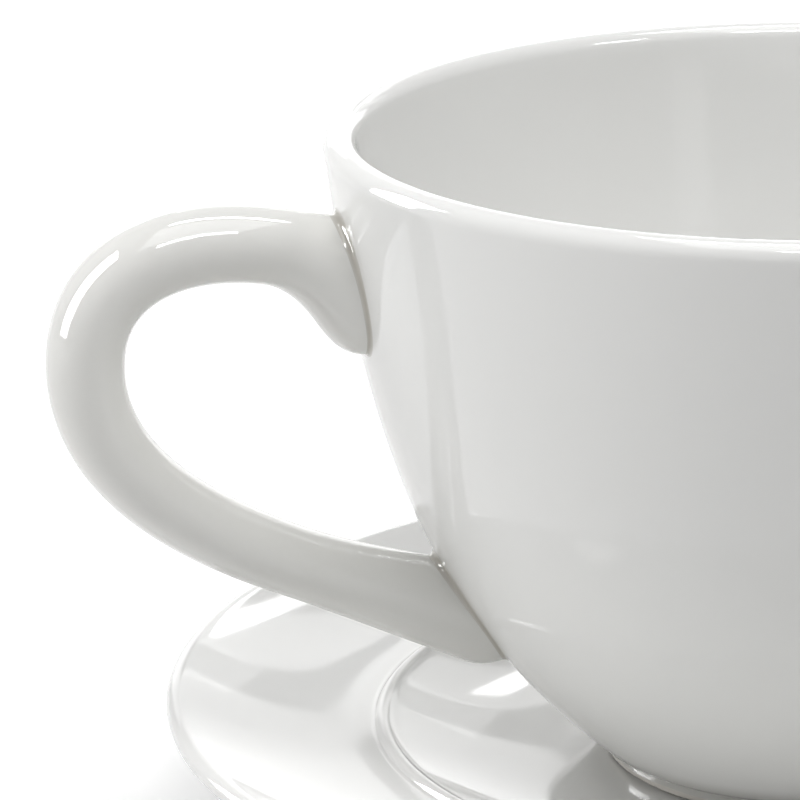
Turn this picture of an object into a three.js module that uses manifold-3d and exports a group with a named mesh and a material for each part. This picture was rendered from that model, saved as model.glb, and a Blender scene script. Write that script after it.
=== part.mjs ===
// White porcelain tea cup standing in the well of its saucer.
// Millimetres, +Z up, table top at z = 0. The handle points along -X.
// The origin is on the table, at the middle of the footprint (saucer plus the handle's overhang).
import * as THREE from 'three';
import { mergeVertices } from 'three/addons/utils/BufferGeometryUtils.js';
import Module from 'manifold-3d';

// Cup bowl: heights are above the underside of the cup's foot
const cupRimRadius = 52.5;
const cupHeight = 69.2;
const lipThickness = 3.45;
const bellyThickness = 4.3;
const floorThickness = 4.2;
const floorRise = 4.3;           // height over which the inside wall rounds into the floor
const wallLeanDeg = 6.1;         // how far the wall leans in just under the lip
const wallPull = 28.3;           // reach of the upper wall's curve before it turns in
const bellyAngleDeg = 39.8;      // slope of the bowl where it runs into the foot
const bellyPull = 24.8;

// Cup foot ring
const cupFootRadius = 23.2;
const cupFootHeight = 2.1;
const cupFootFillet = 1.5;
const cupFootWidth = 2.6;
const cupFootEdge = 0.4;         // rounding of the ring's bearing edges
const cupFootRecess = 1.8;

// Handle: a strap of oval section in the vertical plane through the cup's axis
const handleReach = 82.85;       // cup axis to the outermost point of the grip
const gripDrop = 21.1;           // from the rim's top down to that outermost point
const gripThickness = 8.1;
const gripWidth = 9.4;
const tailThickness = 6.95;      // past the grip the strap thins towards its lower end
const tailWidth = 10.2;
const upperJointDrop = 11.85;    // from the rim's top down to the upper joint
const upperLeaveDeg = 24.9;      // the strap rises from the wall at this angle
const upperPull = 14.2;
const crownPull = 12.95;
const gripPull = 18.1;
const lowerJointHeight = 19.05;
const lowerLeaveDeg = 19.4;
const lowerPull = 11.5;

// Flares at the handle's two ends, which give the joints their area.
// A flare is full up to its start, counted from the joint along the strap, and then dies away.
const upperFlareStart = -9;
const upperFlareLength = 17.8;
const upperFlareTop = 0.85;
const upperFlareUnder = 6.4;
const upperFlareSide = 2;
const lowerFlareStart = -7.8;
const lowerFlareLength = 28.2;
const lowerFlareTop = 1.2;
const lowerFlareUnder = 2.65;
const lowerFlareSide = 0.3;

// Rounding of the strap's underside just before it meets the wall: chin above, keel below
const chinStart = 1;
const chinLength = 6;
const chinRound = 3.15;
const keelStart = 1.5;
const keelLength = 5;
const keelRound = 2.55;

// Slip that lutes the handle to the wall
const slipThickness = 0.8;
const slipBead = 0.45;           // how far the slip squeezes out round the flare
const jointGap = 0.3;
const rootDepth = 12;            // how far the strap runs on into the wall before it is trimmed

// Saucer: heights are above the table
const saucerRadius = 70.95;
const saucerHeight = 16.2;
const saucerRimThickness = 2.3;
const saucerThickness = 3.9;
const seatHeight = 8;            // floor of the well, which carries the cup's foot
const seatMargin = 3.6;          // flat left round the foot
const seatClearance = 0.3;
const beadRadius = 47.6;         // raised ring that borders the well
const beadWidth = 1.7;
const beadHeight = 0.55;
const beadBase = 11.95;
const brimDip = 0.4;             // the brim dips just outside the ring, then sweeps up to the rim
const brimDipPull = 6.5;
const brimRimPull = 8;
const brimRimDeg = 24;
const saucerFootRadius = 41;
const saucerFootWidth = 3.2;
const saucerFootEdge = 0.5;
const saucerFootRecess = 3.4;

// Facets
const turnSegments = 64;
const wallSteps = 12;
const lipSteps = 6;
const curveSteps = 4;
const strapSides = 18;
const strapUpperSteps = 15;      // sections from the upper root to the grip
const strapLowerSteps = 25;      // sections from the grip to the lower root
const slipSteps = 9;
const wallSamples = 200;         // fine steps for finding the wall's radius at a height

const rad = THREE.MathUtils.degToRad;
const point = (radius, height) => new THREE.Vector2(radius, height);
const porcelain = { color: 0xf3f1ec, roughness: 0.12, metalness: 0 };
const firedSlip = { color: 0xe6e3dc, roughness: 0.25, metalness: 0 };

const wasm = await Module();
wasm.setup();

// Solid of revolution about Z. The outline, in (radius, height), runs from the top of the axis
// out and round to its bottom; a lathe takes it the other way, so that faces point out.
function turned(outline) {
  const geometry = new THREE.LatheGeometry([...outline].reverse(), turnSegments);
  geometry.rotateX(Math.PI / 2);
  return geometry;
}

function toManifold(geometry) {
  const bare = geometry.clone();
  bare.deleteAttribute('normal');
  bare.deleteAttribute('uv');
  const merged = mergeVertices(bare, 1e-4);
  const index = Array.from(merged.index.array);
  const triVerts = [];
  for (let i = 0; i < index.length; i += 3) {
    const [a, b, c] = index.slice(i, i + 3);
    if (a !== b && b !== c && c !== a) triVerts.push(a, b, c);
  }
  return new wasm.Manifold(new wasm.Mesh({
    numProp: 3,
    vertProperties: new Float32Array(merged.attributes.position.array),
    triVerts: new Uint32Array(triVerts),
  }));
}

function fromManifold(solid) {
  const mesh = solid.getMesh();
  const geometry = new THREE.BufferGeometry();
  geometry.setAttribute('position', new THREE.BufferAttribute(new Float32Array(mesh.vertProperties), 3));
  geometry.setIndex(new THREE.BufferAttribute(new Uint32Array(mesh.triVerts), 1));
  geometry.computeVertexNormals();
  return geometry;
}

// A quarter-round corner of the outline at a vertex, between two neighbours of the vertex
function roundedCorner(before, corner, after, radius) {
  const a = corner.clone().add(before.clone().sub(corner).setLength(radius));
  const b = corner.clone().add(after.clone().sub(corner).setLength(radius));
  return new THREE.QuadraticBezierCurve(a, corner, b).getPoints(2);
}

// Cup bowl
const lean = rad(wallLeanDeg);
const lipCentre = point(cupRimRadius - lipThickness / 2, cupHeight - lipThickness / 2);
const footJoin = point(cupFootRadius + cupFootFillet, cupFootHeight);

function bowlCurve() {
  const start = lipCentre.clone().addScaledVector(point(Math.cos(lean), -Math.sin(lean)), lipThickness / 2);
  const belly = point(Math.cos(rad(bellyAngleDeg)), Math.sin(rad(bellyAngleDeg)));
  return new THREE.CubicBezierCurve(
    start,
    start.clone().addScaledVector(point(-Math.sin(lean), -Math.cos(lean)), wallPull),
    footJoin.clone().addScaledVector(belly, bellyPull),
    footJoin,
  );
}

// The bowl's outside moved out by a distance (or in, by a negative one that may vary along the wall)
function bowlOffset(distanceAt) {
  const curve = bowlCurve();
  const points = [];
  for (let i = 0; i <= wallSteps; i++) {
    const t = i / wallSteps;
    const tangent = curve.getTangent(t);
    const outward = point(-tangent.y, tangent.x);
    points.push(curve.getPoint(t).addScaledVector(outward, distanceAt(t)));
  }
  return points;
}

function cupOutline() {
  const outside = bowlOffset(() => 0);
  const inside = bowlOffset((t) => -THREE.MathUtils.lerp(lipThickness, bellyThickness, t));
  const floorTop = cupFootRecess + floorThickness;

  // The inside wall stops above the floor and rounds into it, about its own slope carried on
  const kept = inside.filter((p) => p.y > floorTop + floorRise);
  const last = kept[kept.length - 1];
  const run = last.clone().sub(kept[kept.length - 2]).normalize();
  const turn = last.clone().add(run.multiplyScalar((floorTop - last.y) / run.y));
  const floorStart = point(turn.x - turn.distanceTo(last) / 2, floorTop);
  const fillet = new THREE.QuadraticBezierCurve(last, turn, floorStart).getPoints(curveSteps);

  const lip = [];
  for (let i = 1; i < lipSteps; i++) {
    const angle = -lean + Math.PI * (1 - i / lipSteps);
    lip.push(lipCentre.clone().addScaledVector(point(Math.cos(angle), Math.sin(angle)), lipThickness / 2));
  }

  const footTop = point(cupFootRadius, cupFootHeight - cupFootFillet / 2);
  const footOuter = point(cupFootRadius, 0);
  const footInner = point(cupFootRadius - cupFootWidth, 0);
  const recessEdge = point(footInner.x - cupFootRecess / 2, cupFootRecess);
  return [
    point(0, floorTop),
    ...fillet.reverse().slice(0, -1),
    ...kept.reverse(),
    ...lip,
    ...outside,
    footTop,
    ...roundedCorner(footTop, footOuter, footInner, cupFootEdge),
    ...roundedCorner(footOuter, footInner, recessEdge, cupFootEdge),
    recessEdge,
    point(0, cupFootRecess),
  ];
}

// The bowl's outside as a filled solid, grown by a distance, to trim what meets the wall
function bowlFilled(grow) {
  const wall = bowlOffset(() => grow);
  const top = point(wall[0].x, cupHeight + rootDepth);
  const bottom = wall[wall.length - 1];
  return toManifold(turned([point(0, top.y), top, ...wall, point(0, bottom.y)]));
}

function wallRadiusAt(height) {
  const points = bowlCurve().getPoints(wallSamples);
  const below = points.findIndex((p) => p.y <= height);
  const [high, low] = [points[below - 1], points[below]];
  return THREE.MathUtils.mapLinear(height, high.y, low.y, high.x, low.x);
}

// Handle strap: two cubic sweeps that meet, upright, at the outermost point of the grip
function handlePath() {
  const upperHeight = cupHeight - upperJointDrop;
  const upper = point(wallRadiusAt(upperHeight), upperHeight);
  const grip = point(handleReach - gripThickness / 2, cupHeight - gripDrop);
  const lower = point(wallRadiusAt(lowerJointHeight), lowerJointHeight);
  const rise = point(Math.cos(rad(upperLeaveDeg)), Math.sin(rad(upperLeaveDeg)));
  const fall = point(Math.cos(rad(lowerLeaveDeg)), Math.sin(rad(lowerLeaveDeg)));
  const path = new THREE.CurvePath();
  path.add(new THREE.CubicBezierCurve(
    upper,
    upper.clone().addScaledVector(rise, upperPull),
    grip.clone().add(point(0, crownPull)),
    grip,
  ));
  path.add(new THREE.CubicBezierCurve(
    grip,
    grip.clone().sub(point(0, gripPull)),
    lower.clone().addScaledVector(fall, lowerPull),
    lower,
  ));
  return path;
}

// Evenly spaced distances, both ends included
function spaced(from, to, steps) {
  return Array.from({ length: steps + 1 }, (_, i) => THREE.MathUtils.lerp(from, to, i / steps));
}

// How much of a flare is felt at a distance from its joint: it eases out from full to nothing
function flare(distance, start, length) {
  return 1 - THREE.MathUtils.smoothstep(distance, start, start + length);
}

// How far the underside is drawn up at a depth past its joint
function tuck(depth, start, length, round) {
  return round * THREE.MathUtils.clamp((depth - start) / length, 0, 1) ** 2;
}

// Closed loft of oval sections at distances along the strap, each grown by an amount.
// A distance below zero, or past the end, runs straight on into the wall.
function strap(stations, grow) {
  const path = handlePath();
  const [gripAt, length] = path.getCurveLengths();
  const positions = [];
  for (const s of stations) {
    const along = THREE.MathUtils.clamp(s / length, 0, 1);
    const taper = THREE.MathUtils.clamp((s - gripAt) / (length - gripAt), 0, 1);
    const tangent = path.getTangentAt(along);
    const outward = point(-tangent.y, tangent.x);
    const centre = path.getPointAt(along).addScaledVector(tangent, s - along * length);
    const upper = flare(s, upperFlareStart, upperFlareLength);
    const lower = flare(length - s, lowerFlareStart, lowerFlareLength);
    const chin = tuck(-s, chinStart, chinLength, chinRound);
    const keel = tuck(s - length, keelStart, keelLength, keelRound);
    const outer = upper * upperFlareTop + lower * lowerFlareUnder - keel;
    const inner = upper * upperFlareUnder + lower * lowerFlareTop - chin;
    const side = upper * upperFlareSide + lower * lowerFlareSide;
    const thickness = THREE.MathUtils.lerp(gripThickness, tailThickness, taper) + outer + inner;
    const width = THREE.MathUtils.lerp(gripWidth, tailWidth, taper) + 2 * side;
    const halfThick = thickness / 2 + grow;
    const halfWide = width / 2 + grow;
    centre.addScaledVector(outward, (outer - inner) / 2);
    for (let k = 0; k < strapSides; k++) {
      const turn = (2 * Math.PI * k) / strapSides;
      const lift = halfThick * Math.cos(turn);
      positions.push(
        -(centre.x + outward.x * lift),
        halfWide * Math.sin(turn),
        centre.y + outward.y * lift,
      );
    }
  }

  const index = [];
  const ring = (i, k) => i * strapSides + (k % strapSides);
  const end = stations.length - 1;
  for (let i = 0; i < end; i++) {
    for (let k = 0; k < strapSides; k++) {
      index.push(ring(i, k), ring(i + 1, k + 1), ring(i + 1, k));
      index.push(ring(i, k), ring(i, k + 1), ring(i + 1, k + 1));
    }
  }
  for (let k = 1; k < strapSides - 1; k++) {
    index.push(ring(0, 0), ring(0, k + 1), ring(0, k));
    index.push(ring(end, 0), ring(end, k), ring(end, k + 1));
  }
  const geometry = new THREE.BufferGeometry();
  geometry.setAttribute('position', new THREE.BufferAttribute(new Float32Array(positions), 3));
  geometry.setIndex(index);
  return toManifold(geometry);
}

// Distance from the wall to the outside of the slip
const slipOuter = jointGap + slipThickness;

function handleSolid() {
  const [gripAt, length] = handlePath().getCurveLengths();
  const whole = strap([
    ...spaced(-rootDepth, gripAt, strapUpperSteps),
    ...spaced(gripAt, length + rootDepth, strapLowerSteps).slice(1),
  ], 0);
  return fromManifold(whole.subtract(bowlFilled(slipOuter + jointGap)));
}

function slipSolid(from, to) {
  const end = strap(spaced(from, to, slipSteps), slipBead);
  return fromManifold(end.intersect(bowlFilled(slipOuter)).subtract(bowlFilled(jointGap)));
}

// Saucer: well with a raised ring round it, brim sweeping up to a rounded rim, foot ring underneath
function saucerOutline() {
  const seatRadius = cupFootRadius + seatMargin;
  const beadInner = point(beadRadius - beadWidth / 2, beadBase);
  const beadOuter = point(beadRadius + beadWidth / 2, beadBase - brimDip / 2);
  const wellTurn = point((seatRadius + beadInner.x) / 2, seatHeight);
  const well = new THREE.QuadraticBezierCurve(point(seatRadius, seatHeight), wellTurn, beadInner);
  const bead = new THREE.QuadraticBezierCurve(
    beadInner,
    point(beadRadius, beadBase + 2 * beadHeight),
    beadOuter,
  );

  const rimHalf = saucerRimThickness / 2;
  const rimCentre = point(saucerRadius - rimHalf, saucerHeight - rimHalf);
  const climb = rad(brimRimDeg);
  const rimInner = rimCentre.clone().addScaledVector(point(-Math.sin(climb), Math.cos(climb)), rimHalf);
  const rimUnder = rimCentre.clone().addScaledVector(point(Math.sin(climb), -Math.cos(climb)), rimHalf);
  const climbing = point(Math.cos(climb), Math.sin(climb));
  const brim = new THREE.CubicBezierCurve(
    beadOuter,
    point(beadOuter.x + brimDipPull, beadOuter.y - brimDip),
    rimInner.clone().addScaledVector(climbing, -brimRimPull),
    rimInner,
  );
  const rim = [];
  for (let i = 1; i < lipSteps; i++) {
    const angle = climb + Math.PI / 2 - (Math.PI * i) / lipSteps;
    rim.push(rimCentre.clone().addScaledVector(point(Math.cos(angle), Math.sin(angle)), rimHalf));
  }

  const footShoulder = point(saucerFootRadius + saucerFootWidth / 2, seatHeight - saucerThickness);
  const belly = new THREE.QuadraticBezierCurve(
    rimUnder,
    rimUnder.clone().addScaledVector(climbing, -brimRimPull - brimDipPull),
    footShoulder,
  );
  const footOuter = point(saucerFootRadius, 0);
  const footInner = point(saucerFootRadius - saucerFootWidth, 0);
  const recessEdge = point(footInner.x - saucerFootRecess / 2, saucerFootRecess);
  return [
    point(0, seatHeight),
    ...well.getPoints(curveSteps).slice(0, -1),
    ...bead.getPoints(curveSteps),
    ...brim.getPoints(2 * curveSteps).slice(1),
    ...rim,
    ...belly.getPoints(curveSteps),
    ...roundedCorner(footShoulder, footOuter, footInner, saucerFootEdge),
    ...roundedCorner(footOuter, footInner, recessEdge, saucerFootEdge),
    recessEdge,
    point(0, saucerFootRecess),
  ];
}

function named(name, geometry, finish) {
  const mesh = new THREE.Mesh(geometry, new THREE.MeshStandardMaterial(finish));
  mesh.name = name;
  return mesh;
}

const handleLength = handlePath().getLength();
const cup = new THREE.Group();
cup.add(named('cup_body', turned(cupOutline()), porcelain));
cup.add(named('cup_handle', handleSolid(), porcelain));
const upperSlip = slipSolid(-rootDepth, upperFlareStart + upperFlareLength);
const lowerSlip = slipSolid(handleLength - lowerFlareStart - lowerFlareLength, handleLength + rootDepth);
cup.add(named('upper_slip_joint', upperSlip, firedSlip));
cup.add(named('lower_slip_joint', lowerSlip, firedSlip));
cup.position.z = seatHeight + seatClearance;

const onAxis = new THREE.Group();
onAxis.add(named('saucer', turned(saucerOutline()), porcelain));
onAxis.add(cup);
onAxis.position.x = (Math.max(handleReach, saucerRadius) - saucerRadius) / 2;

const cupWithSaucer = new THREE.Group();
cupWithSaucer.add(onAxis);

export default cupWithSaucer;
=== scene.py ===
import math
from functools import partial

import bpy
import numpy as np
from mathutils import Matrix, Vector


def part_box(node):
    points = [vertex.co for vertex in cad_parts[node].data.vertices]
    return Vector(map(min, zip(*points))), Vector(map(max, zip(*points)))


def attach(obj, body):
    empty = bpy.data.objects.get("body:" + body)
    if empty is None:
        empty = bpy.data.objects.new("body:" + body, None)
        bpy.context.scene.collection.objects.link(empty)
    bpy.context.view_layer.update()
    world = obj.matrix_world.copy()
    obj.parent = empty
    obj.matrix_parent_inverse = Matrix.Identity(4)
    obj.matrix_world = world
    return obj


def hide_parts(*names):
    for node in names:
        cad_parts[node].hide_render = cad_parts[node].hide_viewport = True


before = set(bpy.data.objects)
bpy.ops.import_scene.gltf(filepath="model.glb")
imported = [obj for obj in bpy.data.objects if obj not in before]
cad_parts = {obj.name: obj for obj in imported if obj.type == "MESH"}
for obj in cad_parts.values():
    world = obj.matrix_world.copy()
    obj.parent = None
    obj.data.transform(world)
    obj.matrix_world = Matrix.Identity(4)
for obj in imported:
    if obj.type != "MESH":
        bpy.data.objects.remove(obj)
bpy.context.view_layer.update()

# The saucer: a disc of hard white porcelain, pressed on a turning head and dipped in clear glaze.
# A low raised ring borders the sunken well that takes the cup, and the brim climbs to a round rim.
# It stood on its foot ring in the kiln, so the ring's bearing edge was wiped bare of glaze.
saucer_low, saucer_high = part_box("saucer")
axis_x = (saucer_low.x + saucer_high.x) / 2
saucer_radius = (saucer_high.x - saucer_low.x) / 2
saucer_height = saucer_high.z
saucer_rim = 0.0023
saucer_thickness = 0.0039
seat_height = 0.008
seat_radius = 0.0268
ring_radius = 0.0476
ring_width = 0.0017
ring_height = 0.00055
ring_base = 0.01195
brim_dip = 0.0004
brim_dip_pull = 0.0065
brim_rim_pull = 0.008
brim_climb = math.radians(24)
saucer_foot_radius = 0.041
saucer_foot_width = 0.0032
saucer_foot_edge = 0.0005
saucer_foot_recess = 0.0034


def sweep(*pulls, steps=24):
    """Points on the Bezier curve from the first point to the last, drawn towards those between."""
    share = np.linspace(0, 1, steps + 1)[:, None]
    level = [np.asarray(pull, float)[None, :] for pull in pulls]
    while len(level) > 1:
        level = [(1 - share) * a + share * b for a, b in zip(level, level[1:])]
    return level[0]


def heading(angle):
    """Unit step in an outline's (radius, height) plane."""
    return np.array((math.cos(angle), math.sin(angle)))


def half_round(centre, radius, start, steps=20):
    """Rounded edge: half a circle, clockwise from the start angle."""
    angle = start - np.linspace(0, math.pi, steps + 1)
    return centre + radius * np.column_stack((np.cos(angle), np.sin(angle)))


def eased_corner(before, corner, after, radius):
    """Small rounding of an outline's corner, towards its two neighbours."""
    before, corner, after = (np.asarray(p, float) for p in (before, corner, after))
    back = (before - corner) / np.linalg.norm(before - corner)
    ahead = (after - corner) / np.linalg.norm(after - corner)
    return sweep(corner + back * radius, corner, corner + ahead * radius, steps=6)


def skinned(name, rings, tip=None, tail=None):
    """Smooth mesh over closed rings of points. It ends in a tip and a tail, or joins into a loop."""
    count, sides = rings.shape[:2]
    here = np.arange(count if tip is None else count - 1)[:, None] * sides
    there = (here + sides) % (count * sides)
    side = np.arange(sides)
    after = (side + 1) % sides
    faces = np.stack((here + side, there + side, there + after, here + after), -1).reshape(-1, 4).tolist()
    points = rings.reshape(-1, 3).tolist()
    if tip is not None:
        first = len(points)
        last = first + 1
        base = (count - 1) * sides
        points += [list(tip), list(tail)]
        faces += [(first, k, n) for k, n in zip(side.tolist(), after.tolist())]
        faces += [(base + k, last, base + n) for k, n in zip(side.tolist(), after.tolist())]
    mesh = bpy.data.meshes.new(name)
    mesh.from_pydata(points, [], faces)
    mesh.shade_smooth()
    piece = bpy.data.objects.new(name, mesh)
    bpy.context.scene.collection.objects.link(piece)
    return piece


def turned(name, outline, sides=288):
    """Body of revolution about the cup's axis, from an outline that starts and ends on it."""
    turn = np.linspace(0, 2 * math.pi, sides, endpoint=False)
    radius = outline[1:-1, :1]
    height = outline[1:-1, 1:]
    rings = np.stack((axis_x + radius * np.cos(turn), radius * np.sin(turn), height + 0 * turn), -1)
    return skinned(name, rings, (axis_x, 0, outline[0][1]), (axis_x, 0, outline[-1][1]))


ring_inner = (ring_radius - ring_width / 2, ring_base)
ring_outer = (ring_radius + ring_width / 2, ring_base - brim_dip / 2)
rim_centre = np.array((saucer_radius - saucer_rim / 2, saucer_height - saucer_rim / 2))
rim_inner = rim_centre + heading(brim_climb + math.pi / 2) * saucer_rim / 2
rim_under = rim_centre + heading(brim_climb - math.pi / 2) * saucer_rim / 2
foot_shoulder = (saucer_foot_radius + saucer_foot_width / 2, seat_height - saucer_thickness)
foot_outer = (saucer_foot_radius, 0)
foot_inner = (saucer_foot_radius - saucer_foot_width, 0)
recess_edge = (foot_inner[0] - saucer_foot_recess / 2, saucer_foot_recess)
saucer = turned("saucer_dish", np.vstack((
    [(0, seat_height)],
    sweep((seat_radius / 4, seat_height), (seat_radius, seat_height), steps=8)[:-1],
    sweep((seat_radius, seat_height), ((seat_radius + ring_inner[0]) / 2, seat_height), ring_inner)[:-1],
    sweep(ring_inner, (ring_radius, ring_base + 2 * ring_height), ring_outer, steps=16)[:-1],
    sweep(
        ring_outer,
        (ring_outer[0] + brim_dip_pull, ring_outer[1] - brim_dip),
        rim_inner - heading(brim_climb) * brim_rim_pull,
        rim_inner,
        steps=36,
    )[:-1],
    half_round(rim_centre, saucer_rim / 2, brim_climb + math.pi / 2)[:-1],
    sweep(rim_under, rim_under - heading(brim_climb) * (brim_rim_pull + brim_dip_pull), foot_shoulder),
    eased_corner(foot_shoulder, foot_outer, foot_inner, saucer_foot_edge),
    eased_corner(foot_outer, foot_inner, recess_edge, saucer_foot_edge),
    eased_corner(foot_inner, recess_edge, (0, saucer_foot_recess), saucer_foot_edge),
    [(0, saucer_foot_recess)],
)))


def wire(tree, kind, feeds, **settings):
    """New node with its settings made and each input given a plain value or another node's output."""
    node = tree.nodes.new(kind)
    for setting, value in settings.items():
        setattr(node, setting, value)
    for socket, feed in feeds.items():
        if isinstance(feed, bpy.types.NodeSocket):
            tree.links.new(feed, node.inputs[socket])
        else:
            node.inputs[socket].default_value = feed
    return node


def math_of(tree, operation, *feeds):
    """Output of one arithmetic node."""
    return wire(tree, "ShaderNodeMath", dict(enumerate(feeds)), operation=operation).outputs[0]


def blended(tree, share, first, second):
    """Output of a colour mix, from the first colour to the second."""
    return wire(tree, "ShaderNodeMix", {0: share, 6: first, 7: second}, data_type="RGBA").outputs[2]


def mottle(tree, spot, scale, detail):
    """Output of a cloudy noise at a spot on the piece."""
    feeds = {"Vector": spot, "Scale": scale, "Detail": detail}
    return wire(tree, "ShaderNodeTexNoise", feeds).outputs["Fac"]


def shader_group(name, inputs, outputs):
    """Empty node group with named sockets: its tree, its inputs' outlets and its output node."""
    kinds = {"color": "NodeSocketColor", "value": "NodeSocketFloat"}
    tree = bpy.data.node_groups.new(name, "ShaderNodeTree")
    for label, kind in inputs.items():
        tree.interface.new_socket(name=label, in_out="INPUT", socket_type=kinds[kind])
    for label, kind in outputs.items():
        tree.interface.new_socket(name=label, in_out="OUTPUT", socket_type=kinds[kind])
    return tree, tree.nodes.new("NodeGroupInput").outputs, tree.nodes.new("NodeGroupOutput")


def glaze_skin_group():
    """Fired clear glaze: cloudy tone, uneven gloss, long slow waves and a fine orange-peel skin."""
    smear_least = 0.6
    smear_swing = 0.8
    tree, given, result = shader_group(
        "glaze_skin",
        {"Thin": "color", "Thick": "color", "Gloss": "value", "Wave": "value", "Peel": "value"},
        {"Color": "color", "Roughness": "value", "Height": "value"},
    )
    spot = tree.nodes.new("ShaderNodeTexCoord").outputs["Object"]
    cloud = mottle(tree, spot, scale=34, detail=3)
    smear = mottle(tree, spot, scale=150, detail=2)
    wave = mottle(tree, spot, scale=75, detail=1)
    peel = mottle(tree, spot, scale=620, detail=1)
    duller = math_of(tree, "MULTIPLY_ADD", smear, smear_swing, smear_least)
    rise = math_of(tree, "MULTIPLY", wave, given["Wave"])
    height = math_of(tree, "MULTIPLY_ADD", peel, given["Peel"], rise)
    tree.links.new(blended(tree, cloud, given["Thin"], given["Thick"]), result.inputs["Color"])
    tree.links.new(math_of(tree, "MULTIPLY", duller, given["Gloss"]), result.inputs["Roughness"])
    tree.links.new(height, result.inputs["Height"])
    return tree


def radius_node(tree, axis):
    """Distance of the shaded point from the turning axis."""
    spot = tree.nodes.new("ShaderNodeTexCoord").outputs["Object"]
    part = wire(tree, "ShaderNodeSeparateXYZ", {0: spot}).outputs
    across = math_of(tree, "SUBTRACT", part["X"], axis)
    square = math_of(tree, "MULTIPLY", across, across)
    return math_of(tree, "SQRT", math_of(tree, "MULTIPLY_ADD", part["Y"], part["Y"], square))


def pool_shade_group():
    """Soft ring at one radius, darkened where glaze gathered in a turned hollow and as painted shade."""
    tree, given, result = shader_group(
        "pool_shade", {"Axis": "value", "Radius": "value", "Spread": "value"}, {"Mask": "value"}
    )
    off = math_of(tree, "SUBTRACT", radius_node(tree, given["Axis"]), given["Radius"])
    share = math_of(tree, "DIVIDE", math_of(tree, "ABSOLUTE", off), given["Spread"])
    fade = {"Value": share, "To Min": 1, "To Max": 0}
    mask = wire(tree, "ShaderNodeMapRange", fade, interpolation_type="SMOOTHSTEP")
    tree.links.new(mask.outputs["Result"], result.inputs["Mask"])
    return tree


def turning_marks_group():
    """Faint rings that the forming tool leaves under the glaze of a turned piece."""
    tree, given, result = shader_group(
        "turning_marks", {"Axis": "value", "Pitch": "value", "Depth": "value"}, {"Height": "value"}
    )
    spot = tree.nodes.new("ShaderNodeTexCoord").outputs["Object"]
    rise = wire(tree, "ShaderNodeSeparateXYZ", {0: spot}).outputs["Z"]
    along = math_of(tree, "ADD", radius_node(tree, given["Axis"]), rise)
    turns = math_of(tree, "DIVIDE", along, given["Pitch"])
    drift = wire(tree, "ShaderNodeTexNoise", {"W": turns, "Scale": 1, "Detail": 1}, noise_dimensions="1D")
    height = math_of(tree, "MULTIPLY", drift.outputs["Fac"], given["Depth"])
    tree.links.new(height, result.inputs["Height"])
    return tree


def bare_foot_group():
    """Wiped foot ring: matte fired clay, mottled between two given colours, up to a slightly uneven glaze
    line.
    """
    line_sway = 0.5
    line_softness = 0.1
    dull_least = 0.65
    dull_swing = 0.25
    grain_depth = 0.00004
    tree, given, result = shader_group(
        "bare_foot",
        {"Level": "value", "Band": "value", "Clay": "color", "Rubbed": "color"},
        {"Mask": "value", "Color": "color", "Roughness": "value", "Height": "value"},
    )
    spot = tree.nodes.new("ShaderNodeTexCoord").outputs["Object"]
    rise = wire(tree, "ShaderNodeSeparateXYZ", {0: spot}).outputs["Z"]
    uneven = mottle(tree, spot, scale=260, detail=2)
    grain = mottle(tree, spot, scale=4200, detail=2)
    above = math_of(tree, "DIVIDE", math_of(tree, "SUBTRACT", rise, given["Level"]), given["Band"])
    edge = math_of(tree, "ADD", above, math_of(tree, "MULTIPLY_ADD", uneven, line_sway, -line_sway / 2))
    fade = {"Value": edge, "From Min": 1 - line_softness, "From Max": 1, "To Min": 1, "To Max": 0}
    mask = wire(tree, "ShaderNodeMapRange", fade)
    tree.links.new(mask.outputs["Result"], result.inputs["Mask"])
    tree.links.new(blended(tree, uneven, given["Clay"], given["Rubbed"]), result.inputs["Color"])
    dull = math_of(tree, "MULTIPLY_ADD", grain, dull_swing, dull_least)
    tree.links.new(dull, result.inputs["Roughness"])
    tree.links.new(math_of(tree, "MULTIPLY", grain, grain_depth), result.inputs["Height"])
    return tree


glaze_skin = glaze_skin_group()
pool_shade = pool_shade_group()
turning_marks = turning_marks_group()
bare_foot = bare_foot_group()


def new_finish(name):
    """Empty material of this name with its node tree and glossy shader."""
    finish = bpy.data.materials.new(name)
    finish.use_nodes = True
    return finish, finish.node_tree, finish.node_tree.nodes["Principled BSDF"]


def grouped(tree, group, feeds):
    """Outlets of a node group placed in a material."""
    return wire(tree, "ShaderNodeGroup", feeds, node_tree=group).outputs


# The saucer's glaze is painted a little greyer than the bowl's, as shade.
shaded_saucer_thin = (0.785, 0.784, 0.771, 1)
shaded_saucer_thick = (0.765, 0.767, 0.755, 1)
saucer_gloss = 0.055
# A dark grey blended in rings: glaze pooled in hollows, and painted shade.
pooled_glaze_and_shade = (0.44, 0.435, 0.41, 1)
glaze_index = 1.5
glaze_wave = 0.00002
glaze_peel = 0.0000008
marks_depth = 0.000004
# The bare clay of the foot rings is painted grey: some dirt, and mostly painted shade.
bare_clay_and_shade = (0.55, 0.53, 0.49, 1)
rubbed_clay_and_shade = (0.47, 0.45, 0.41, 1)
bare_band = 0.0007


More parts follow.
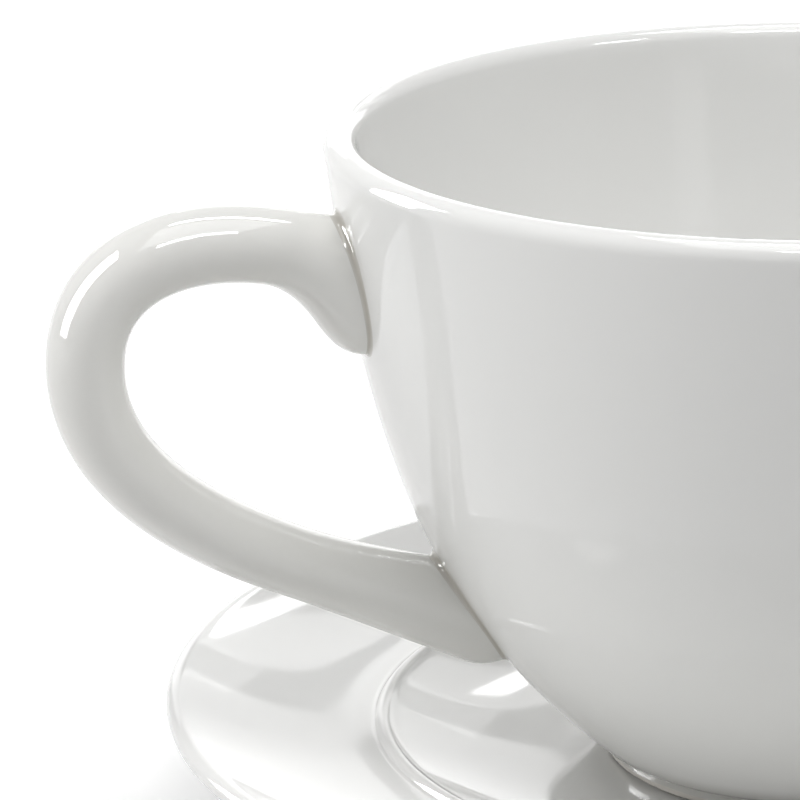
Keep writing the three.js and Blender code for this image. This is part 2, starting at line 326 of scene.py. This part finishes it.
def turned_glaze(name, thin, thick, gloss, foot_level, pool_shades, marks_pitch):
    """Glazed porcelain of a turned piece, with darker rings of pooled glaze and painted shade, a bare foot
    and faint turning marks.
    """
    finish, tree, shader = new_finish(name)
    skin = grouped(tree, glaze_skin, {
        "Thin": thin, "Thick": thick, "Gloss": gloss, "Wave": glaze_wave, "Peel": glaze_peel,
    })
    color = skin["Color"]
    for pool_shade_ring in pool_shades:
        ring = grouped(tree, pool_shade, {
            "Axis": axis_x, "Radius": pool_shade_ring["radius"], "Spread": pool_shade_ring["spread"],
        })
        share = math_of(tree, "MULTIPLY", ring["Mask"], pool_shade_ring["depth"])
        color = blended(tree, share, color, pooled_glaze_and_shade)
    marks = grouped(tree, turning_marks, {"Axis": axis_x, "Pitch": marks_pitch, "Depth": marks_depth})
    foot = grouped(tree, bare_foot, {
        "Level": foot_level, "Band": bare_band, "Clay": bare_clay_and_shade, "Rubbed": rubbed_clay_and_shade,
    })
    color = blended(tree, foot["Mask"], color, foot["Color"])
    matte = wire(tree, "ShaderNodeMix", {0: foot["Mask"], 2: skin["Roughness"], 3: foot["Roughness"]})
    relief = math_of(tree, "ADD", skin["Height"], marks["Height"])
    relief = wire(tree, "ShaderNodeMix", {0: foot["Mask"], 2: relief, 3: foot["Height"]})
    bump = wire(tree, "ShaderNodeBump", {"Height": relief.outputs[0], "Distance": 1})
    tree.links.new(color, shader.inputs["Base Color"])
    tree.links.new(matte.outputs[0], shader.inputs["Roughness"])
    tree.links.new(bump.outputs["Normal"], shader.inputs["Normal"])
    shader.inputs["IOR"].default_value = glaze_index
    return finish


# Darker rings beside the saucer's raised ring: glaze pooled in its hollows, and painted shade.
ring_pool_shade_gap = 0.0008
ring_pool_shade_inside = {"radius": ring_inner[0], "spread": 0.0016, "depth": 0.12}
ring_pool_shade_outside = {"radius": ring_outer[0] + ring_pool_shade_gap, "spread": 0.002, "depth": 0.12}
# Painted shade across the saucer's well, under and around the cup.
well_shade = {"radius": seat_radius, "spread": 0.016, "depth": 0.15}
saucer.data.materials.append(turned_glaze(
    "saucer_glaze",
    thin=shaded_saucer_thin,
    thick=shaded_saucer_thick,
    gloss=saucer_gloss,
    foot_level=0,
    pool_shades=(ring_pool_shade_inside, ring_pool_shade_outside, well_shade),
    marks_pitch=0.0045,
))
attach(saucer, "saucer")
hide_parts("saucer")

# The cup's bowl: porcelain cast or jiggered in one piece with its foot ring, and glazed all over.
# The wall leans in a little under a rounded lip, then turns in a deep belly down to the foot.
# The foot's bearing edge was wiped before firing and stands in the saucer's well.
bowl_low, bowl_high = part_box("cup_body")
cup_radius = (bowl_high.x - bowl_low.x) / 2
cup_top = bowl_high.z
cup_base = bowl_low.z
lip_thickness = 0.00345
belly_thickness = 0.0043
floor_thickness = 0.0042
floor_rise = 0.0043
wall_lean = math.radians(6.1)
wall_pull = 0.0283
belly_angle = math.radians(39.8)
belly_pull = 0.0248
cup_foot_radius = 0.0232
cup_foot_height = 0.0021
cup_foot_fillet = 0.0015
cup_foot_width = 0.0026
cup_foot_edge = 0.0004
cup_foot_recess = 0.0018

lip_centre = np.array((cup_radius - lip_thickness / 2, cup_top - lip_thickness / 2))
wall_start = lip_centre + heading(-wall_lean) * lip_thickness / 2
foot_join = np.array((cup_foot_radius + cup_foot_fillet, cup_base + cup_foot_height))
wall_outside = sweep(
    wall_start,
    wall_start + heading(-wall_lean - math.pi / 2) * wall_pull,
    foot_join + heading(belly_angle) * belly_pull,
    foot_join,
    steps=90,
)
along_wall = np.gradient(wall_outside, axis=0)
along_wall /= np.linalg.norm(along_wall, axis=1)[:, None]
wall_thickness = np.linspace(lip_thickness, belly_thickness, len(wall_outside))[:, None]
wall_inside = wall_outside + np.column_stack((along_wall[:, 1], -along_wall[:, 0])) * wall_thickness
floor_top = cup_base + cup_foot_recess + floor_thickness
wall_inside = wall_inside[wall_inside[:, 1] > floor_top + floor_rise]
wall_end = wall_inside[-1]
wall_run = wall_end - wall_inside[-2]
floor_turn = wall_end + wall_run * (floor_top - wall_end[1]) / wall_run[1]
floor_start = floor_turn - (np.linalg.norm(floor_turn - wall_end) / 2, 0)
ring_top = (cup_foot_radius, cup_base + cup_foot_height - cup_foot_fillet / 2)
ring_foot = (cup_foot_radius, cup_base)
ring_back = (cup_foot_radius - cup_foot_width, cup_base)
under_edge = (ring_back[0] - cup_foot_recess / 2, cup_base + cup_foot_recess)
bowl = turned("cup_bowl", np.vstack((
    [(0, floor_top)],
    sweep((floor_start[0] / 4, floor_top), floor_start, steps=6)[:-1],
    sweep(floor_start, floor_turn, wall_end, steps=16)[:-1],
    wall_inside[::-1][:-1],
    half_round(lip_centre, lip_thickness / 2, math.pi - wall_lean)[:-1],
    wall_outside[:-1],
    sweep(foot_join, (cup_foot_radius, foot_join[1] - cup_foot_fillet / 8), ring_top, steps=8),
    eased_corner(ring_top, ring_foot, ring_back, cup_foot_edge),
    eased_corner(ring_foot, ring_back, under_edge, cup_foot_edge),
    eased_corner(ring_back, under_edge, (0, under_edge[1]), cup_foot_edge),
    [(0, under_edge[1])],
)))
bowl_thin = (0.815, 0.814, 0.8, 1)
bowl_thick = (0.795, 0.797, 0.784, 1)
cup_gloss = 0.03
# Darker ring in the bowl's inside corner: glaze pooled there, and painted shade.
floor_pool_shade = {"radius": floor_start[0], "spread": 0.005, "depth": 0.12}
# Painted shade on the belly's bottom and foot, where they near the saucer's well.
foot_shade_gap = 0.0006
foot_shade = {"radius": cup_foot_radius + foot_shade_gap, "spread": 0.004, "depth": 0.85}
bowl.data.materials.append(turned_glaze(
    "bowl_glaze",
    thin=bowl_thin,
    thick=bowl_thick,
    gloss=cup_gloss,
    foot_level=cup_base,
    pool_shades=(floor_pool_shade, foot_shade),
    marks_pitch=0.006,
))
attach(bowl, "cup")
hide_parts("cup_body")

# The handle: a solid strap of oval section, cast in a two-part mould and trimmed to the wall.
# It rises from under the lip, turns over at the grip and sweeps back in a long, low lower arm.
# Both ends flare where they were stuck on with slip before the cup was glazed.
handle_reach = 0.08285
grip_thickness = 0.0081
grip_width = 0.0094
tail_thickness = 0.00695
tail_width = 0.0102
grip_rise = 0.0481
upper_rise = 0.05735
upper_leave = math.radians(24.9)
upper_pull = 0.0142
crown_pull = 0.01295
grip_pull = 0.0181
lower_rise = 0.01905
lower_leave = math.radians(19.4)
lower_pull = 0.0115
upper_flare = {"start": -0.009, "length": 0.0178, "top": 0.00085, "under": 0.0064, "side": 0.002}
lower_flare = {"start": -0.0078, "length": 0.0282, "top": 0.0012, "under": 0.00265, "side": 0.0003}
chin = {"start": 0.001, "length": 0.006, "round": 0.00315}
keel = {"start": 0.0015, "length": 0.005, "round": 0.00255}
root_depth = 0.012


def wall_radius(height):
    """Radius of the bowl's outside at a height."""
    return np.interp(height, wall_outside[::-1, 1], wall_outside[::-1, 0])


upper_height = cup_base + upper_rise
lower_height = cup_base + lower_rise
grip = np.array((handle_reach - grip_thickness / 2, cup_base + grip_rise))
upper_root = np.array((wall_radius(upper_height), upper_height))
lower_root = np.array((wall_radius(lower_height), lower_height))
upper_turn = upper_root + heading(upper_leave) * upper_pull
lower_turn = lower_root + heading(lower_leave) * lower_pull
strap_half = 300
strap_path = np.vstack((
    sweep(upper_root, upper_turn, grip + (0, crown_pull), grip, steps=strap_half)[:-1],
    sweep(grip, grip - (0, grip_pull), lower_turn, lower_root, steps=strap_half),
))
strap_travel = np.insert(np.cumsum(np.linalg.norm(np.diff(strap_path, axis=0), axis=1)), 0, 0)
strap_length = strap_travel[-1]
grip_travel = strap_travel[strap_half]
strap_aim = np.gradient(strap_path, strap_travel, axis=0)
strap_aim /= np.linalg.norm(strap_aim, axis=1)[:, None]


def flaring(distance, flare):
    """How much of a flare is felt at a distance from the joint: it eases in and out."""
    share = np.clip((distance - flare["start"]) / flare["length"], 0, 1)
    return 1 - share ** 2 * (3 - 2 * share)


def tucked(depth, tuck):
    """How far the strap's underside is drawn up at a depth past its joint."""
    return tuck["round"] * np.clip((depth - tuck["start"]) / tuck["length"], 0, 1) ** 2


def strap_skin(travel, turn, grow=0):
    """Points on the strap at a distance along its path and a turn round its section."""
    inside = np.clip(travel, 0, strap_length)
    aim_out = np.interp(inside, strap_travel, strap_aim[:, 0])
    aim_up = np.interp(inside, strap_travel, strap_aim[:, 1])
    upper = flaring(travel, upper_flare)
    lower = flaring(strap_length - travel, lower_flare)
    outer = upper * upper_flare["top"] + lower * lower_flare["under"] - tucked(travel - strap_length, keel)
    inner = upper * upper_flare["under"] + lower * lower_flare["top"] - tucked(-travel, chin)
    side = upper * upper_flare["side"] + lower * lower_flare["side"]
    share = np.clip((travel - grip_travel) / (strap_length - grip_travel), 0, 1)
    thick = (grip_thickness + (tail_thickness - grip_thickness) * share + outer + inner) / 2 + grow
    wide = (grip_width + (tail_width - grip_width) * share) / 2 + side + grow
    lift = (outer - inner) / 2 + thick * np.cos(turn)
    past = travel - inside
    radius = np.interp(inside, strap_travel, strap_path[:, 0]) + aim_out * past - aim_up * lift
    height = np.interp(inside, strap_travel, strap_path[:, 1]) + aim_up * past + aim_out * lift
    return np.stack((axis_x - radius, wide * np.sin(turn), height), -1)


def meets_wall(turn, within, clear, depth=0, grow=0):
    """Distance along the strap at which its skin is this deep in the wall, between two distances."""
    halvings = 40
    within = np.full_like(turn, within)
    clear = np.full_like(turn, clear)
    for _ in range(halvings):
        middle = (within + clear) / 2
        spot = strap_skin(middle, turn, grow)
        sunk = np.hypot(spot[..., 0] - axis_x, spot[..., 1]) < wall_radius(spot[..., 2]) - depth
        within = np.where(sunk, middle, within)
        clear = np.where(sunk, clear, middle)
    return (within + clear) / 2


strap_sides = 96
strap_steps = 220
root_bite = 0.0006
lower_clear = strap_length - lower_flare["length"]
strap_turn = -np.linspace(0, 2 * math.pi, strap_sides, endpoint=False)
upper_end = meets_wall(strap_turn, -root_depth, upper_flare["length"], root_bite)
lower_end = meets_wall(strap_turn, strap_length + root_depth, lower_clear, root_bite)
strap_share = np.linspace(0, 1, strap_steps + 1)[:, None]
strap_rings = strap_skin(upper_end + (lower_end - upper_end) * strap_share, strap_turn)
upper_cap = strap_rings[0].mean(axis=0)
lower_cap = strap_rings[-1].mean(axis=0)
handle = skinned("cup_handle_strap", strap_rings, upper_cap, lower_cap)


def cast_glaze(name, thin, thick, gloss, crease=None):
    """Glazed porcelain of a cast piece, with no turning marks and no foot, and painted shade along any
    crease.
    """
    finish, tree, shader = new_finish(name)
    skin = grouped(tree, glaze_skin, {
        "Thin": thin, "Thick": thick, "Gloss": gloss, "Wave": glaze_wave, "Peel": glaze_peel,
    })
    color = skin["Color"]
    if crease:
        depth = wire(tree, "ShaderNodeAttribute", {}, attribute_name="crease").outputs["Fac"]
        color = blended(tree, depth, color, crease)
    bump = wire(tree, "ShaderNodeBump", {"Height": skin["Height"], "Distance": 1})
    tree.links.new(color, shader.inputs["Base Color"])
    tree.links.new(skin["Roughness"], shader.inputs["Roughness"])
    tree.links.new(bump.outputs["Normal"], shader.inputs["Normal"])
    shader.inputs["IOR"].default_value = glaze_index
    return finish


# The handle's glaze is painted a little darker and warmer than the bowl's, as shade and warm bounce light.
shaded_handle_thin = (0.765, 0.76, 0.735, 1)
shaded_handle_thick = (0.745, 0.743, 0.718, 1)
handle.data.materials.append(cast_glaze("handle_glaze", shaded_handle_thin, shaded_handle_thick, cup_gloss))
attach(handle, "cup")
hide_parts("cup_handle")

# The two slip seams: clay slip squeezed out where the handle's ends were stuck to the wall.
# Each was wiped to a small hollow fillet all round the flare, where the glaze then gathered. Its crease is
# painted darker, as shade.
seam_on_strap = 0.001
seam_on_wall = 0.0008
seam_uneven = 0.4
seam_sink = 0.00003
seam_lap = 0.0008
seam_lap_sink = 0.00012
seam_core = 0.0006
seam_arc = 12
# Painted shade in the seams' creases, partly glaze gathered there.
seam_crease_shade = (0.46, 0.44, 0.395, 1)


def slip_seam(name, within, clear, widest):
    """Fillet round one end of the strap, hollow between its skin and the wall, with buried edges."""
    turn = np.linspace(0, 2 * math.pi, strap_sides, endpoint=False)
    away = math.copysign(1, clear - within)
    size = 1 + seam_uneven * np.cos(turn - widest)
    corner_at = meets_wall(turn, within, clear)

    def on_strap(reach, sink):
        return strap_skin(corner_at + away * reach, turn, -sink)

    def on_wall(reach, sink):
        return strap_skin(meets_wall(turn, within, clear, sink, reach), turn, reach)

    start = on_strap(seam_on_strap * size, seam_sink)
    corner = on_strap(0, 0)
    end = on_wall(seam_on_wall * size, seam_sink)
    share = np.linspace(0, 1, seam_arc + 1)[:, None, None]
    rings = np.concatenate((
        on_strap(seam_on_strap * size + seam_lap, seam_lap_sink)[None],
        (1 - share) ** 2 * start + 2 * share * (1 - share) * corner + share ** 2 * end,
        on_wall(seam_on_wall * size + seam_lap, seam_lap_sink)[None],
        on_strap(-seam_core, seam_core)[None],
    ))
    # How deep the painted crease shade is: most in the fillet's middle and in the buried core.
    depth = np.concatenate(([0], np.sin(math.pi * share.ravel()), [0, 1]))
    seam = skinned(name, rings[::-1] if away > 0 else rings)
    crease = seam.data.attributes.new("crease", "FLOAT", "POINT")
    crease.data.foreach_set("value", np.repeat(depth[::-1] if away > 0 else depth, strap_sides))
    return seam


seam_finish = cast_glaze("seam_glaze", shaded_handle_thin, shaded_handle_thick, cup_gloss, seam_crease_shade)
upper_seam = slip_seam("upper_slip_seam", -root_depth, upper_flare["length"], 0)
lower_seam = slip_seam("lower_slip_seam", strap_length + root_depth, lower_clear, math.pi)
for seam, node in ((upper_seam, "upper_slip_joint"), (lower_seam, "lower_slip_joint")):
    seam.data.materials.append(seam_finish)
    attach(seam, "cup")
    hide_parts(node)

# The table: a plain white top, wide enough for the horizon to stay out of the picture.
# To the eye and in reflections it is lifted to white, most of all far from the cup.
# Close to the cup it keeps the saucer's soft shadow.
table_half = 3
table_corners = ((-1, -1), (1, -1), (1, 1), (-1, 1))
table_color = (0.75, 0.75, 0.75, 1)
table_near = 0.3
table_near_lift = 0.35
table_far = 1.2
table_far_lift = 0.85
table_mesh = bpy.data.meshes.new("table")
table_points = [(x * table_half, y * table_half, 0) for x, y in table_corners]
table_mesh.from_pydata(table_points, [], [(0, 1, 2, 3)])
table = bpy.data.objects.new("table", table_mesh)
bpy.context.scene.collection.objects.link(table)


def seen_by_eye(tree):
    """Light Path's share of rays that show a surface, straight on, in a gloss or through glass."""
    ray = tree.nodes.new("ShaderNodeLightPath").outputs
    shown = math_of(tree, "MAXIMUM", ray["Is Camera Ray"], ray["Is Glossy Ray"])
    return math_of(tree, "MAXIMUM", shown, ray["Is Transmission Ray"])


table_finish, tree, shader = new_finish("table_white")
tree.nodes.remove(shader)
matte = wire(tree, "ShaderNodeBsdfDiffuse", {"Color": table_color})
lift = wire(tree, "ShaderNodeMapRange", {
    "Value": radius_node(tree, axis_x),
    "From Min": table_near, "From Max": table_far, "To Min": table_near_lift, "To Max": table_far_lift,
})
strength = math_of(tree, "MULTIPLY", seen_by_eye(tree), lift.outputs["Result"])
glow = wire(tree, "ShaderNodeEmission", {"Strength": strength})
both = wire(tree, "ShaderNodeAddShader", {0: matte.outputs[0], 1: glow.outputs[0]})
tree.links.new(both.outputs[0], tree.nodes["Material Output"].inputs["Surface"])
table_mesh.materials.append(table_finish)

# Studio light: a white room, a large soft box overhead, and fills that light the clay and not the gloss.
# Gleams are bright boxes and panels pale ones, and only the gloss shows them.
# Two gleams light chosen pieces alone: one the handle and its seams, one the bowl and the saucer.
room_color = (1, 1, 1, 1)
room_light = 0.2
room_white = 1
room = bpy.data.worlds.new("room")
room.use_nodes = True
tree = room.node_tree
tree.nodes["Background"].inputs["Color"].default_value = room_color
strength = math_of(tree, "MULTIPLY_ADD", seen_by_eye(tree), room_white - room_light, room_light)
tree.links.new(strength, tree.nodes["Background"].inputs["Strength"])
bpy.context.scene.world = room
camera_bearing = math.radians(-17.5)
lamp_aim_height = 0.05
lamp_aim = Vector((axis_x, 0, lamp_aim_height))


def soft_box(name, bearing, rise, width, height, radiance, tilt=0, away=1, unseen=None, only=()):
    """Soft box that faces the cup; bearing 0 is the camera's side, and it grows to the right.

    It can be unseen by matte or glossy surfaces, and can light only some pieces.
    """
    lamp = bpy.data.lights.new(name, "AREA")
    lamp.shape = "RECTANGLE"
    lamp.size = width
    lamp.size_y = height
    lamp.energy = radiance * math.pi * width * height
    holder = bpy.data.objects.new(name, lamp)
    across = camera_bearing + math.radians(bearing)
    up = math.radians(rise)
    toward = Vector((math.sin(across) * math.cos(up), -math.cos(across) * math.cos(up), math.sin(up)))
    facing = toward.to_track_quat("Z", "Y").to_matrix() @ Matrix.Rotation(math.radians(tilt), 3, "Z")
    holder.location = lamp_aim + toward * away
    holder.rotation_euler = facing.to_euler()
    holder.visible_diffuse = unseen != "diffuse"
    holder.visible_glossy = unseen != "glossy"
    if only:
        lit_pieces = bpy.data.collections.new(name + "_pieces")
        for piece in only:
            lit_pieces.objects.link(piece)
        holder.light_linking.receiver_collection = lit_pieces
    bpy.context.scene.collection.objects.link(holder)


clay_light = partial(soft_box, unseen="glossy")
gloss_light = partial(soft_box, unseen="diffuse")
strap_pieces = (handle, upper_seam, lower_seam)
turned_pieces = (bowl, saucer)
soft_box("overhead_box", bearing=0, rise=80, width=0.7, height=0.7, radiance=2.9)
clay_light("left_fill", bearing=-79, rise=32, width=0.55, height=0.8, radiance=2.1)
clay_light("left_low_fill", bearing=-80, rise=10, width=0.6, height=0.3, radiance=3.4)
clay_light("right_fill", bearing=75, rise=42, width=0.5, height=0.45, radiance=2.6)
clay_light("back_fill", bearing=180, rise=25, width=0.8, height=0.4, radiance=2.1)
clay_light("front_steep_fill", bearing=30, rise=70, width=0.45, height=0.45, radiance=2.6)
gloss_light("left_gleam", bearing=-80, rise=28, width=0.4, height=0.95, radiance=30, only=strap_pieces)
gloss_light("lip_gleam", bearing=-110, rise=16, width=0.32, height=0.55, radiance=30, only=turned_pieces)
gloss_light("front_gleam", bearing=10, rise=57, width=0.45, height=0.12, radiance=25, tilt=4)
gloss_light("top_gleam", bearing=180, rise=74, width=0.58, height=0.1, radiance=25)
gloss_light("right_gleam", bearing=66, rise=46, width=0.2, height=0.11, radiance=25)
gloss_light("back_gleam", bearing=181.6, rise=22.8, width=0.011, height=0.042, radiance=4.5, away=0.295)
gloss_light("back_panel", bearing=183, rise=8.7, width=0.9, height=0.34, radiance=1.15, tilt=8)
gloss_light("back_high_panel", bearing=181, rise=26, width=0.6, height=0.14, radiance=1.2)
gloss_light("back_side_panel", bearing=162.3, rise=20, width=0.54, height=0.1, radiance=0.6)

# The camera: a long lens, held well above the lip, a little to the handle's side, and tipped down.
# Its focal length and half the picture's width are in pixels.
camera_reach = 0.44625
camera_height = 0.17993
camera_yaw = math.radians(-5.783)
camera_pitch = math.radians(16.573)
camera_roll = math.radians(-1.15)
image_half = 400
image_focus = 4343.6
lens = bpy.data.cameras.new("camera")
lens.angle = 2 * math.atan(image_half / image_focus)
camera = bpy.data.objects.new("camera", lens)
camera.matrix_world = (
    Matrix.Translation((
        axis_x + math.sin(camera_bearing) * camera_reach,
        -math.cos(camera_bearing) * camera_reach,
        camera_height,
    ))
    @ Matrix.Rotation(camera_bearing - camera_yaw, 4, "Z")
    @ Matrix.Rotation(math.pi / 2 - camera_pitch, 4, "X")
    @ Matrix.Rotation(camera_roll, 4, "Z")
)
bpy.context.scene.collection.objects.link(camera)
bpy.context.scene.camera = camera
bpy.context.scene.view_settings.view_transform = "Standard"
